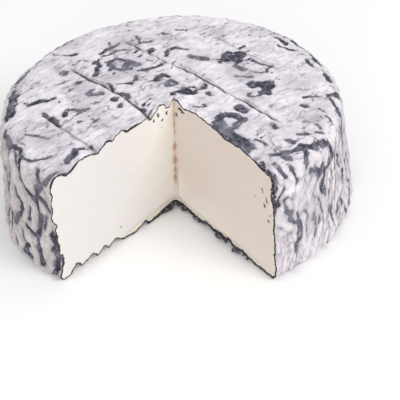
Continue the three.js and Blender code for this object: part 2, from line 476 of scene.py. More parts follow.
def ashDepth(x, y, z, radius, sideways, fromRight):
    # mm inside a mark of bare ash, with each mark's route left a little unsteady
    farOff = marks["farOff"]
    onTop = strokeDepth(x + 0.7 * waver(x, y, 9, 1.0), y + 0.8 * waver(x, y, 11, 2.0), marks["top"])
    rimRadius, rimHalf, rimBreak = marks["rim"]
    leftClear, rightClear = marks["rimClear"]
    rimAway = np.abs(radius - rimRadius - 0.8 * waver(sideways, z * 0, 23, 3.0))
    rimDepth = rimHalf - rimAway + rimBreak * waver(sideways, z * 0, 13, 7.0)
    onTop = np.maximum(onTop, np.where((fromRight > rightClear) & (sideways > leftClear), rimDepth, -farOff))
    for spotRadius, (spotX, spotY) in marks["spots"]:
        onTop = np.minimum(onTop, np.hypot(x - spotX, (y - spotY) * 0.7) - spotRadius)
    bentLeft = sideways + 0.8 * waver(sideways, z, 12, 3.0)
    onSide = strokeDepth(bentLeft, z + waver(sideways, z, 9, 4.0), marks["side"]) + marks["sideSwell"]
    bentRight = fromRight + 0.8 * waver(sideways, z, 8, 5.0)
    onRight = strokeDepth(bentRight, z + 0.8 * waver(sideways, z, 7, 2.0), marks["sideRight"])
    onSide = np.maximum(onSide, onRight)
    bare = np.where(z > wheel["height"] - wheel["topEdge"] * 0.9, onTop, -farOff)
    return np.maximum(bare, np.where((z > 0.5) & (z < wheel["height"]), onSide, -farOff))


def nearestCrease(x, y):
    # mm from the middle of the nearest crease, and how much of its depth it has there
    creaseAway, creaseShare = np.full(len(x), float(marks["farOff"])), np.zeros(len(x))
    for middle, slope, begin, end, deep in creases["lines"]:
        bend = creases["wander"] * waver(x, x * 0 + middle, 34, 5.0)
        away = y - (middle + slope * x + bend)
        present = np.clip((x - begin) / creases["fade"], 0, 1) * np.clip((end - x) / creases["fade"], 0, 1)
        nearer = np.abs(away) < np.abs(creaseAway)
        creaseAway = np.where(nearer, away, creaseAway)
        creaseShare = np.where(nearer, present * deep, creaseShare)
    return creaseAway, creaseShare


def readSurface(points):
    # what the relief and the colours need to know about each point of the rind
    x, y, z = points.T
    radius = sectionRadius(x, y, z)
    facing = np.arctan2(y, x)
    facing = np.where(facing < math.radians(cut["wedgeFacing"]), facing + 2 * math.pi, facing)
    sideRadius = wheel["baseRadius"] - 1
    sideways = (math.radians(cut["leftEdgeFacing"]) - facing) * sideRadius
    fromRight = (facing - math.radians(cut["rightEdgeFacing"])) * sideRadius
    topShare = np.clip((z - (wheel["height"] - wheel["topEdge"])) / wheel["topEdge"], 0, 1)
    topShare = topShare * topShare * (3 - 2 * topShare)
    footShare = np.clip(1 - z / wheel["baseEdge"], 0, 1)
    creaseAway, creaseShare = nearestCrease(x, y)

    tipX, tipY = tipAt(z)
    push = np.zeros(len(x))
    nearCut = np.full(len(x), 200.0)
    for side, facing in (("left", leftFacing), ("right", rightFacing)):
        outFrom = (x - tipX) * math.cos(facing) + (y - tipY) * math.sin(facing)
        across = np.abs(-(x - tipX) * math.sin(facing) + (y - tipY) * math.cos(facing))
        away = np.where(outFrom > 0, across, np.hypot(across, outFrom))
        nearCut = np.minimum(nearCut, away)
        fade = np.exp(-((away / lumps["blend"]) ** 2))
        onTop = topShare * along(lumps[side + "Top"], outFrom)
        onSide = (1 - topShare) * (1 - footShare) * along(lumps[side + "Side"], z)
        onFoot = -footShare * along(lumps[side + "Foot"], outFrom)
        push += fade * (onTop + onSide + onFoot)
    return {
        "topShare": topShare,
        "footShare": footShare,
        "sideways": sideways,
        "bare": ashDepth(x, y, z, radius, sideways, fromRight),
        "creaseAway": creaseAway,
        "creaseShare": np.where(topShare > 0.2, creaseShare, 0),
        "push": push,
        "nearCut": nearCut,
        # near the left cut edge the hollows are drawn one by one, and near the right one they are shallow
        "drawn": np.clip((40 - sideways) / 6, 0, 1) * (1 - topShare),
        "lively": 0.3 + 0.7 * np.clip((fromRight - 60) / 50, 0, 1),
    }


def plainMesh(name, points, faces, values):
    mesh = bpy.data.meshes.new(name)
    mesh.from_pydata([tuple(p) for p in (points * toMetres).tolist()], [], faces)
    for key, data in values.items():
        layer = mesh.attributes.new(key, "FLOAT", "POINT")
        layer.data.foreach_set("value", np.asarray(data, np.float32))
    mesh.update()
    return mesh


surface = readSurface(rindPoints)
print("marks, creases and lumps laid out")

# short ways to add nodes


def feed(tree, socket, value):
    if isinstance(value, bpy.types.NodeSocket):
        tree.links.new(value, socket)
    elif value is not None:
        socket.default_value = value


def addNode(tree, kind, *values, **settings):
    node = tree.nodes.new(kind)
    for key, value in settings.items():
        setattr(node, key, value)
    for socket, value in zip(node.inputs, values):
        feed(tree, socket, value)
    return node


def calc(tree, operation, *values):
    return addNode(tree, "ShaderNodeMath", *values, operation=operation).outputs[0]


def ease(tree, value, start, end, low=0.0, high=1.0):
    node = addNode(tree, "ShaderNodeMapRange", value, start, end, low, high, interpolation_type="SMOOTHSTEP")
    return node.outputs[0]


def swing(tree, noise, amount, middle=0.5):
    # a noise turned into a value that goes below and above nothing
    return calc(tree, "MULTIPLY", calc(tree, "SUBTRACT", noise, middle), amount)


def stray(tree, value, noise, amount, middle=0.5):
    # a value that a noise moves down and up
    return calc(tree, "MULTIPLY_ADD", calc(tree, "SUBTRACT", noise, middle), amount, value)


def stack(tree, value, parts):
    for part, amount in parts:
        value = calc(tree, "MULTIPLY_ADD", part, amount, value)
    return value


def hump(tree, away, width):
    # 1 in the middle, dying away on both sides
    share = calc(tree, "POWER", calc(tree, "DIVIDE", away, width), 2.0)
    return calc(tree, "EXPONENT", calc(tree, "MULTIPLY", share, -1.0))


def mixValue(tree, share, low, high):
    node = addNode(tree, "ShaderNodeMix", share, data_type="FLOAT")
    feed(tree, node.inputs[2], low)
    feed(tree, node.inputs[3], high)
    return node.outputs[0]


def joinXyz(tree, x, y, z):
    return addNode(tree, "ShaderNodeCombineXYZ", x, y, z).outputs[0]


def scaleVector(tree, vector, amount):
    node = addNode(tree, "ShaderNodeVectorMath", vector, operation="SCALE")
    feed(tree, node.inputs["Scale"], amount)
    return node.outputs[0]


def stretched(tree, places, lengths):
    # a noise read here is drawn out along the longer lengths
    return joinXyz(tree, *(calc(tree, "DIVIDE", place, length) for place, length in zip(places, lengths)))


def cloud(tree, vector, scale, detail=2.0, roughness=0.5, colour=False):
    node = tree.nodes.new("ShaderNodeTexNoise")
    feed(tree, node.inputs["Vector"], vector)
    node.inputs["Scale"].default_value = scale
    node.inputs["Detail"].default_value = detail
    node.inputs["Roughness"].default_value = roughness
    return node.outputs["Color" if colour else "Fac"]


def newInput(tree, name, kind, value):
    socket = tree.interface.new_socket(name=name, in_out="INPUT", socket_type=kind)
    socket.default_value = value


def startTree(name, sizes, slot):
    tree = bpy.data.node_groups.new(name, "GeometryNodeTree")
    for way in ("INPUT", "OUTPUT"):
        tree.interface.new_socket(name="Geometry", in_out=way, socket_type="NodeSocketGeometry")
    for key, value in sizes.items():
        newInput(tree, key, "NodeSocketInt" if isinstance(value, int) else "NodeSocketFloat", value)
    newInput(tree, slot, "NodeSocketMaterial", None)
    return tree, tree.nodes.new("NodeGroupInput").outputs


def moveBy(tree, geometry, offset):
    move = tree.nodes.new("GeometryNodeSetPosition")
    feed(tree, move.inputs["Geometry"], geometry)
    feed(tree, move.inputs["Offset"], offset)
    return move.outputs[0]


def finishTree(tree, geometry, material):
    real = addNode(tree, "GeometryNodeRealizeInstances", geometry)
    painted = addNode(tree, "GeometryNodeSetMaterial", real.outputs[0])
    feed(tree, painted.inputs["Material"], material)
    feed(tree, tree.nodes.new("NodeGroupOutput").inputs[0], painted.outputs[0])
    return tree


# the relief of the rind

relief = {
    "Crease Depth": 1.0,
    "Crease Lip": 0.7,
    "Ripple Spacing": 7.5,
    "Ripple Depth": 1.5,
    "Bare Depth": 0.45,
    "Undulation": 0.55,
    "Crumple": 0.5,
    "Rib Spacing": 5.8,
    "Rib Depth": 1.3,
    "Ragged Edge": 0.36,
    "Seed": 4.0,
}
rindNoise = {
    "bend": 0.11,  # waves per mm
    "patches": 0.045,
    "rough": 0.45,
    "swell": 0.05,
    "fray": 0.42,
    "dashes": (2.3, 5.5, 1.0),  # mm along X, Y and Z
    "pucker": (3.0, 4.5, 5.0),
    "sway": (15.0, 21.0, 1.0),  # mm round the side, then up it
    "breadth": (8.0, 17.0, 1.0),
}
creaseShape = {
    "grooveWidth": 1.1,
    "lipWidth": 1.4,
    "lipAway": 2.0,
}
frayReach = 1.6  # mm from the cut where the rind's edge frays


def makeReliefTree():
    tree, given = startTree("rindRelief", relief, "Rind")
    work, slope = partial(calc, tree), partial(ease, tree)

    def named(key):
        node = tree.nodes.new("GeometryNodeInputNamedAttribute")
        node.inputs["Name"].default_value = key
        return node.outputs["Attribute"]

    position = tree.nodes.new("GeometryNodeInputPosition").outputs[0]
    inMm = scaleVector(tree, position, 1 / toMetres)
    stepX, stepY = work("MULTIPLY", given["Seed"], 37.0), work("MULTIPLY", given["Seed"], 13.0)
    seedStep = joinXyz(tree, stepX, stepY, 0.0)
    spot = addNode(tree, "ShaderNodeVectorMath", inMm, seedStep, operation="ADD").outputs[0]
    x, y, z = addNode(tree, "ShaderNodeSeparateXYZ", spot).outputs
    around, topShare, footShare = named("sideways"), named("topShare"), named("footShare")
    sideShare = work("SUBTRACT", 1.0, topShare)

    # small dashes on the top, drawn out across the creases
    bend = cloud(tree, spot, rindNoise["bend"])
    dashes = cloud(tree, stretched(tree, (stray(tree, x, bend, 9.0), y, z), rindNoise["dashes"]), 1.0)
    level = stray(tree, 0.685, cloud(tree, spot, rindNoise["patches"], 1.0), -0.35)
    topField = work("MULTIPLY", work("SUBTRACT", dashes, level), 14.0)

    # wandering valleys down the side
    sway = cloud(tree, stretched(tree, (around, z, given["Seed"]), rindNoise["sway"]), 1.0)
    phase = stray(tree, work("DIVIDE", around, given["Ripple Spacing"]), sway, 4.6)
    offMiddle = work("ABSOLUTE", work("SUBTRACT", work("FRACT", phase), 0.5))
    toValley = work("MULTIPLY", offMiddle, given["Ripple Spacing"])
    breadth = cloud(tree, stretched(tree, (around, z, 9.0), rindNoise["breadth"]), 1.0)
    halfWidth = stray(tree, named("lively"), breadth, 9.0, 0.43)
    sideField = work("SUBTRACT", work("SUBTRACT", halfWidth, 0.5), toValley)
    sideField = work("SUBTRACT", sideField, work("MULTIPLY", named("drawn"), 2.6))
    rough = swing(tree, cloud(tree, spot, rindNoise["rough"]), 1.8)
    sideField = work("MULTIPLY", work("ADD", sideField, rough), 0.6)
    ash = work("MAXIMUM", mixValue(tree, topShare, sideField, topField), named("bare"))

    # heights, in mm: bare ash lies low, and each crease is a groove with a lip beside it
    onTop = work("MULTIPLY", slope(ash, -0.8, 0.5), work("MULTIPLY", given["Bare Depth"], topShare))
    onSide = work("MULTIPLY", slope(ash, -2.6, 0.9), work("MULTIPLY", given["Ripple Depth"], sideShare))
    onSide = work("MULTIPLY", onSide, named("lively"))
    height = work("MULTIPLY", work("ADD", onTop, onSide), -1.0)
    away = named("creaseAway")
    groove = work("MULTIPLY", hump(tree, away, creaseShape["grooveWidth"]), given["Crease Depth"])
    beside = work("ADD", away, creaseShape["lipAway"])
    lip = work("MULTIPLY", hump(tree, beside, creaseShape["lipWidth"]), given["Crease Lip"])
    swell = swing(tree, cloud(tree, spot, rindNoise["swell"], 1.0), 4.0)
    pucker = swing(tree, cloud(tree, stretched(tree, (x, y, z), rindNoise["pucker"]), 1.0, 3.0), 4.0)
    parts = [(work("SUBTRACT", lip, groove), named("creaseShare"))]
    parts += [(swell, given["Undulation"]), (pucker, given["Crumple"])]
    height = stack(tree, height, parts)

    # the foot's ribs rise slowly and drop short, as crumpled rind does
    ribPhase = work("FRACT", work("DIVIDE", stray(tree, y, bend, 5.0), given["Rib Spacing"]))
    rib = work("MULTIPLY", slope(ribPhase, 0.0, 0.75), slope(ribPhase, 1.0, 0.8))
    ribHere = work("MULTIPLY", footShare, slope(named("nearCut"), 4.0, 12.0))
    height = work("SUBTRACT", height, work("MULTIPLY", work("MULTIPLY", rib, ribHere), given["Rib Depth"]))
    fray = swing(tree, cloud(tree, spot, rindNoise["fray"]), 4.0)
    fray = work("MULTIPLY", fray, hump(tree, named("nearCut"), frayReach))
    height = work("MULTIPLY_ADD", fray, given["Ragged Edge"], height)
    height = work("ADD", height, named("push"))
    # the foot only ever rises from the table
    footRise = work("MULTIPLY", work("MINIMUM", height, 0.0), footShare)
    height = work("ADD", work("SUBTRACT", footRise, work("MULTIPLY", height, footShare)), height)

    normal = tree.nodes.new("GeometryNodeInputNormal").outputs[0]
    shift = scaleVector(tree, normal, work("MULTIPLY", height, toMetres))
    stored = given["Geometry"]
    for key, value in (("ash", ash), ("lift", height)):
        store = tree.nodes.new("GeometryNodeStoreNamedAttribute")
        store.inputs["Name"].default_value = key
        feed(tree, store.inputs["Geometry"], stored)
        feed(tree, store.inputs["Value"], value)
        stored = store.outputs[0]
    return finishTree(tree, moveBy(tree, stored, shift), given["Rind"])


def runTree(mesh, tree, sizes, material, slot):
    # lays the tree on the mesh and returns the plain mesh that comes out
    body = bpy.data.objects.new(mesh.name, mesh)
    bpy.context.scene.collection.objects.link(body)
    modifier = body.modifiers.new(tree.name, "NODES")
    modifier.node_group = tree
    for item in tree.interface.items_tree:
        if item.in_out == "INPUT" and item.name in sizes:
            modifier[item.identifier] = sizes[item.name]
        if item.in_out == "INPUT" and item.name == slot:
            modifier[item.identifier] = material
    bpy.context.view_layer.update()
    result = bpy.data.meshes.new_from_object(body.evaluated_get(bpy.context.evaluated_depsgraph_get()))
    body.modifiers.remove(modifier)
    bpy.data.objects.remove(body)
    return result


def readPoints(mesh):
    flat = np.empty(len(mesh.vertices) * 3, np.float32)
    mesh.vertices.foreach_get("co", flat)
    return flat.reshape(-1, 3).astype(float) / toMetres


def readValues(mesh, key):
    flat = np.empty(len(mesh.vertices), np.float32)
    mesh.attributes[key].data.foreach_get("value", flat)
    return flat.astype(float)


# colours and finishes

rindLook = {
    "bloom": (0.82, 0.775, 0.825),
    "bloomShade": (0.47, 0.44, 0.49),
    "wrinkleLine": (0.30, 0.27, 0.32),
    # the side's tint is mostly painted shade of the side turned from the key light, then painted shade in its
    # wrinkle hollows
    "sideToneAndShade": (0.56, 0.51, 0.485),
    "sideShade": (0.30, 0.275, 0.275),
    "ash": (0.032, 0.034, 0.052),
    "ashDust": (0.21, 0.205, 0.26),
    "haze": (0.28, 0.265, 0.30),
    "creaseLine": (0.062, 0.042, 0.055),
    "bumpHeight": 0.3,
    # each grain's size in mm, then how far it is drawn out along Y and up
    "fine": (0.9,),
    "powder": (3.2,),
    "lace": (1.9, 1.5),
    "topWrinkle": (1.3, 3.2),
    "sideWrinkle": (1.2, 1.0, 3.5),
    "crust": (0.8,),
}
pasteLook = {
    "ivory": (0.70, 0.672, 0.656),
    # darker, warmer paste: partly painted shade of the right face turned from the key light, partly a warmer
    # paste
    "warm": (0.655, 0.565, 0.508),
    # painted light: paler paste near the inner corner and the right face's foot
    "pale": (0.83, 0.775, 0.71),
    "cream": (0.72, 0.67, 0.56),
    "crack": (0.50, 0.28, 0.15),
    "crust": (0.035, 0.033, 0.042),
    "crustBrown": (0.075, 0.06, 0.052),
    "roughness": 0.55,
    "softness": 0.3,
    "softRadius": (1.0, 0.62, 0.38),
    "softDepth": 4,  # mm
    "fine": 0.9,
    "smear": 6.0,
    "crumbly": 2.2,
}


def makeGrain():
    # powdery grain of a size in mm, which can be drawn out along Y or up
    group = bpy.data.node_groups.new("fineGrain", "ShaderNodeTree")
    for name in ("Grain Size", "Drawn Out", "Drawn Up"):
        newInput(group, name, "NodeSocketFloat", 1.0)
    for name in ("Value", "Coarse"):
        group.interface.new_socket(name=name, in_out="OUTPUT", socket_type="NodeSocketFloat")
    grainSize, drawnOut, drawnUp = group.nodes.new("NodeGroupInput").outputs[:3]
    result = group.nodes.new("NodeGroupOutput")
    place = group.nodes.new("ShaderNodeTexCoord").outputs["Object"]
    scaled = scaleVector(group, place, calc(group, "DIVIDE", 1 / toMetres, grainSize))
    x, y, z = addNode(group, "ShaderNodeSeparateXYZ", scaled).outputs
    drawn = stretched(group, (x, y, z), (1.0, drawnOut, drawnUp))
    feed(group, result.inputs[0], cloud(group, drawn, 1.0, 4.0, 0.6))
    feed(group, result.inputs[1], cloud(group, drawn, 0.22, 3.0, 0.55))
    return group


def grainNode(tree, group, size, drawnOut=1.0, drawnUp=1.0):
    node = tree.nodes.new("ShaderNodeGroup")
    node.node_tree = group
    for socket, value in zip(node.inputs, (size, drawnOut, drawnUp)):
        socket.default_value = value
    return node.outputs


def blend(tree, share, low, high):
    node = addNode(tree, "ShaderNodeMix", data_type="RGBA")
    feed(tree, node.inputs[0], share)
    for socket, value in ((node.inputs[6], low), (node.inputs[7], high)):
        feed(tree, socket, (*value, 1) if isinstance(value, tuple) else value)
    return node.outputs[2]


def attribute(tree, key):
    node = tree.nodes.new("ShaderNodeAttribute")
    node.attribute_name = key
    return node.outputs["Fac"]


def startMaterial(name):
    material = bpy.data.materials.new(name)
    material.use_nodes = True
    tree = material.node_tree
    return material, tree, tree.nodes["Principled BSDF"]


def setFinish(tree, shader, colour, roughness, shine):
    feed(tree, shader.inputs["Base Color"], colour)
    feed(tree, shader.inputs["Roughness"], roughness)
    shader.inputs["Specular IOR Level"].default_value = shine


def addBump(tree, shader, height, strength, distance):
    bump = tree.nodes.new("ShaderNodeBump")
    bump.inputs["Strength"].default_value = strength
    bump.inputs["Distance"].default_value = distance * toMetres
    feed(tree, bump.inputs["Height"], height)
    tree.links.new(bump.outputs[0], shader.inputs["Normal"])


def makeRindMaterial(grain):
    material, tree, shader = startMaterial("bloomyRind")
    work, slope, paint, known = (partial(tool, tree) for tool in (calc, ease, blend, attribute))
    fine, coarse = grainNode(tree, grain, *rindLook["fine"])
    powder, broad = grainNode(tree, grain, *rindLook["powder"])
    lace = grainNode(tree, grain, *rindLook["lace"])[0]
    topWrinkle, topFold = grainNode(tree, grain, *rindLook["topWrinkle"])
    sideWrinkle, sideFold = grainNode(tree, grain, *rindLook["sideWrinkle"])
    onSide = work("SUBTRACT", 1.0, known("topShare"))
    wrinkle = mixValue(tree, onSide, topWrinkle, sideWrinkle)
    fold = mixValue(tree, onSide, topFold, sideFold)
    edge = stray(tree, stray(tree, known("ash"), fine, 1.2), powder, 2.4)
    bareShare = work("MULTIPLY", slope(edge, -0.35, 0.35), slope(broad, 0.75, 0.45, 0.65, 1.0))
    bareShare = work("MULTIPLY", bareShare, slope(lace, 0.68, 0.6, 0.35, 1.0))

    # the bloom: powder and grey wrinkles, the wrinkles' grey being painted shade in the hollows of their bump
    shade = rindLook["bloomShade"]
    bloom = paint(slope(broad, 0.38, 0.75, 0.0, 0.7), rindLook["bloom"], shade)
    # painted shade: the bloom darker where the wrinkle bump sinks
    bloom = paint(slope(wrinkle, 0.5, 0.72, 0.0, 0.75), bloom, shade)
    offLine = work("ABSOLUTE", work("SUBTRACT", fold, 0.53))
    lineHere = work("MULTIPLY", slope(broad, 0.42, 0.54), slope(powder, 0.38, 0.58, 0.15, 1.0))
    lineHere = work("MAXIMUM", lineHere, work("MULTIPLY", onSide, 0.7))
    drawnLine = work("MULTIPLY", slope(offLine, 0.035, 0.006), lineHere)
    bloom = paint(drawnLine, bloom, rindLook["wrinkleLine"])
    bloom = paint(slope(coarse, 0.5, 0.75, 0.0, 0.45), bloom, shade)
    # painted shade: the bloom darker where the relief sinks below its smooth outline
    bloom = paint(slope(known("lift"), 0.1, -1.3, 0.0, 0.5), bloom, shade)

    # the side: browner and darker, mostly painted shade where it turns from the key light; painted shade in
    # its wrinkle hollows among grey specks of its own; and a soft grey haze round the bare ash
    sideShare = work("MULTIPLY", onSide, work("MULTIPLY", known("lively"), 0.75))
    # mostly painted shade: the side darker and browner, most away from the right cut
    bloom = paint(sideShare, bloom, rindLook["sideToneAndShade"])
    # painted shade in the side's wrinkle hollows, with grey specks of the rind's own
    sideSpecksAndShade = work("MAXIMUM", slope(sideWrinkle, 0.44, 0.66), slope(fine, 0.56, 0.7, 0.0, 0.7))
    sideSpecksAndShade = work("MULTIPLY", work("MULTIPLY", sideShare, sideSpecksAndShade), 0.75)
    bloom = paint(sideSpecksAndShade, bloom, rindLook["sideShade"])
    haze = work("MULTIPLY", slope(edge, -1.7, 0.3), work("MULTIPLY_ADD", onSide, 0.35, 0.22))
    bloom = paint(haze, bloom, rindLook["haze"])
    dusty = work("MULTIPLY_ADD", powder, 0.7, work("MULTIPLY", fine, 0.3))
    dark = paint(slope(dusty, 0.44, 0.64, 0.0, 0.8), rindLook["ash"], rindLook["ashDust"])
    colour = paint(bareShare, bloom, dark)

    # the creases: a broken dark line, and a thinner one beside it
    away = work("ABSOLUTE", work("ADD", swing(tree, fine, 0.6), known("creaseAway")))
    line = slope(stray(tree, away, broad, -1.8), 0.95, 0.3)
    beside = work("ABSOLUTE", work("SUBTRACT", known("creaseAway"), 1.5))
    beside = work("MULTIPLY", slope(beside, 0.4, 0.1), slope(broad, 0.5, 0.6, 0.0, 0.55))
    line = work("MULTIPLY", work("MAXIMUM", line, beside), known("creaseShare"))
    colour = paint(work("MULTIPLY", line, 0.85), colour, rindLook["creaseLine"])
    setFinish(tree, shader, colour, slope(fine, 0.3, 0.7, 0.82, 0.98), 0.25)
    parts = [(powder, 0.8), (wrinkle, -1.4), (fold, -1.6), (bareShare, -0.6), (line, -1.0), (drawnLine, -0.5)]
    addBump(tree, shader, stack(tree, fine, parts), 0.7, rindLook["bumpHeight"])
    return material


def makeCrustMaterial(grain):
    material, tree, shader = startMaterial("ashCrust")
    fine, coarse = grainNode(tree, grain, *rindLook["crust"])
    dusty = calc(tree, "MULTIPLY", ease(tree, fine, 0.5, 0.68), 0.8)
    dark = blend(tree, coarse, rindLook["ash"], rindLook["creaseLine"])
    colour = blend(tree, dusty, dark, rindLook["bloomShade"])
    setFinish(tree, shader, colour, ease(tree, fine, 0.3, 0.7, 0.75, 0.95), 0.3)
    addBump(tree, shader, fine, 0.6, 0.25)
    return material


def makePasteMaterial(grain):
    material, tree, shader = startMaterial("ivoryPaste")
    slope, paint, known = (partial(tool, tree) for tool in (ease, blend, attribute))
    fine, coarse = grainNode(tree, grain, pasteLook["fine"])
    smear, broad = grainNode(tree, grain, pasteLook["smear"])
    crumbly, patch = grainNode(tree, grain, pasteLook["crumbly"])
    # partly painted shade: the right face's paste darker and warmer, partly a warmer paste
    warm = stray(tree, known("warmth"), broad, 0.35)
    colour = paint(slope(warm, 0.0, 1.0), pasteLook["ivory"], pasteLook["warm"])
    # painted light: paler paste near the inner corner and the right face's foot, against the shade that falls
    # there
    colour = paint(known("pale"), colour, pasteLook["pale"])
    cream = stray(tree, known("cream"), smear, 0.5)
    colour = paint(slope(cream, 0.3, 0.7, 0.0, 0.85), colour, pasteLook["cream"])
    crack = stray(tree, stray(tree, known("crack"), coarse, 1.4), fine, 0.5)
    colour = paint(slope(crack, 0.3, 0.95, 0.0, 0.85), colour, pasteLook["crack"])

    # the crust along the edges, and flecks of it on the face
    inside = stray(tree, stray(tree, known("pasteDepth"), fine, 1.0), crumbly, 1.3)
    crustShare = slope(inside, 0.14, -0.12)
    colour = paint(slope(inside, 1.5, 0.0, 0.0, 0.3), colour, pasteLook["cream"])
    fleckShare = slope(stray(tree, known("flecks"), fine, 2.2, 0.52), 0.0, 0.25)
    dark = paint(slope(patch, 0.56, 0.74), pasteLook["crust"], pasteLook["crustBrown"])
    colour = paint(calc(tree, "MAXIMUM", crustShare, fleckShare), colour, dark)
    setFinish(tree, shader, colour, slope(inside, 0.2, -0.1, pasteLook["roughness"], 0.9), 0.3)
    shader.inputs["Subsurface Weight"].default_value = pasteLook["softness"]
    shader.inputs["Subsurface Radius"].default_value = pasteLook["softRadius"]
    shader.inputs["Subsurface Scale"].default_value = pasteLook["softDepth"] * toMetres
    height = stack(tree, fine, [(smear, 1.2), (crustShare, -0.4), (crack, -0.5)])
    addBump(tree, shader, height, 0.4, 0.15)
    return material


grain = makeGrain()
rindMaterial = makeRindMaterial(grain)
crustMaterial = makeCrustMaterial(grain)
pasteMaterial = makePasteMaterial(grain)
print("materials made")

smooth = plainMesh("smoothRind", rindPoints, rindFaces, surface)
reliefMesh = runTree(smooth, makeReliefTree(), relief, rindMaterial, "Rind")
reliefPoints = readPoints(reliefMesh)
surface["ash"] = readValues(reliefMesh, "ash")
surface["lift"] = readValues(reliefMesh, "lift")
print("rind relief laid on")

# the two cut faces

paste = {
    "dragMarks": 0.10,  # mm, how far the knife left the face uneven
    # how high the creamy band at the foot is, as (distance, height) pairs
    "cream": {
        "left": [(0, 6.3), (20, 4.8), (43, 0.5), (70, 0)],
        "right": [(0, 6.0), (20, 5.0), (45, 4.6), (58, 3.5), (70, 3)],
    },
    "creamStep": 0.6,  # mm that the creamy band sits back
    # the right face, turned from the key light, takes partly painted shade and partly a warmer paste
    "warmth": {"left": 0.02, "right": 0.85},
    # a soft swelling by the crack: out and up, its half width and height, its rise
    "lobe": (3.2, 15, 1.7, 8, 0.9),
    "crackReach": 1.6,
    "crackFoot": 13,
    "crackSpots": [(49, 1.6), (41, 2.2), (33, 2.2), (26, 2.8), (21, 2.4), (16, 2.6)],
    # flecks of crust on the face: half width, then out along it and up
    "flecks": {
        "left": [
            (0.75, (8.7, 54), (8.4, 53)), (0.7, (6.6, 50.5), (6.7, 49.8)), (0.6, (6.8, 47), (6.9, 46.6)),
            (0.7, (4, 53), (4.2, 52)), (0.55, (32.1, 8.8), (32.2, 8.6)), (0.6, (11, 52.5), (11.2, 52)),
        ],
        "right": [
            (0.65, (53.4, 39.5), (54, 37.5)), (0.65, (52.6, 36), (53.1, 34.8)),
            (0.7, (55.4, 29.3), (55.6, 29)), (0.65, (51, 42.5), (51.6, 41)), (0.8, (3, 54), (6, 53.5)),
            (0.6, (47.8, 37), (48, 36.5)), (0.7, (1.5, 51), (1.6, 50)), (0.6, (56, 33), (56.4, 32)),
        ],
    },
}
crust = {
    # how thick the dark rind shows along the cut, as (distance, thickness) pairs
    "leftTop": [
        (0, 0.5), (8, 0.5), (19, 0.55), (21, 1.2), (26, 1.1), (28, 0.55), (33, 0.55), (35, 1.0), (38, 0.9),
        (41, 0.8), (49, 0.6), (53, 1.3), (57, 1.0), (60, 0.7), (62, 1.4), (66, 1.4),
    ],
    "leftSide": [
        (0, 0.7), (8, 0.6), (16, 0.55), (19, 0.9), (24, 0.75), (27, 0.55), (47, 0.6), (51, 1.3),
    ],
    "leftFoot": [
        (0, 1.9), (7, 1.7), (10, 1.0), (16, 0.7), (17, 1.0), (19, 0.7), (35, 0.5), (47, 0.5), (49, 0.7),
        (53, 0.6), (57, 0.6), (62, 0.8), (67, 0.7),
    ],
    "rightTop": [
        (0, 0.9), (9, 0.7), (13, 0.6), (45, 0.7), (48, 1.2), (52, 1.7), (60, 1.9),
    ],
    "rightSide": [
        (0, 0.9), (20, 0.8), (37, 0.9), (41, 1.9), (47, 1.7), (52, 1.6),
    ],
    "rightFoot": [
        (0, 1.9), (9, 1.7), (12, 0.8), (15, 1.3), (18, 0.8), (26, 1.5), (31, 0.7), (34, 1.2), (45, 0.8),
        (60, 0.8),
    ],
}


def tipLine(points, footTip, topTip):
    steps = np.linspace(0, 1, cells["tipLine"] + 1)[1:-1, None]
    return points[footTip] * (1 - steps) + points[topTip] * steps


def insideOf(outline, spots):
    # a point is inside if a line from it crosses the outline an odd number of times
    inside = np.zeros(len(spots), bool)
    for (x1, y1), (x2, y2) in zip(outline, np.roll(outline, -1, 0)):
        spans = (y1 > spots[:, 1]) != (y2 > spots[:, 1])
        if y1 == y2:
            continue
        inside ^= spans & (spots[:, 0] < x1 + (spots[:, 1] - y1) * (x2 - x1) / (y2 - y1))
    return inside


def awayFrom(route, spots):
    # distance from each spot to an open run of points, and the number of the nearest one
    start, step = route[:-1], np.diff(route, axis=0)
    length = np.maximum((step**2).sum(1), 1e-9)
    share = np.clip(((spots[:, None] - start) * step).sum(2) / length, 0, 1)
    gap = np.linalg.norm(spots[:, None] - start - share[..., None] * step, axis=2)
    nearest = gap.argmin(1)
    return gap.min(1), nearest


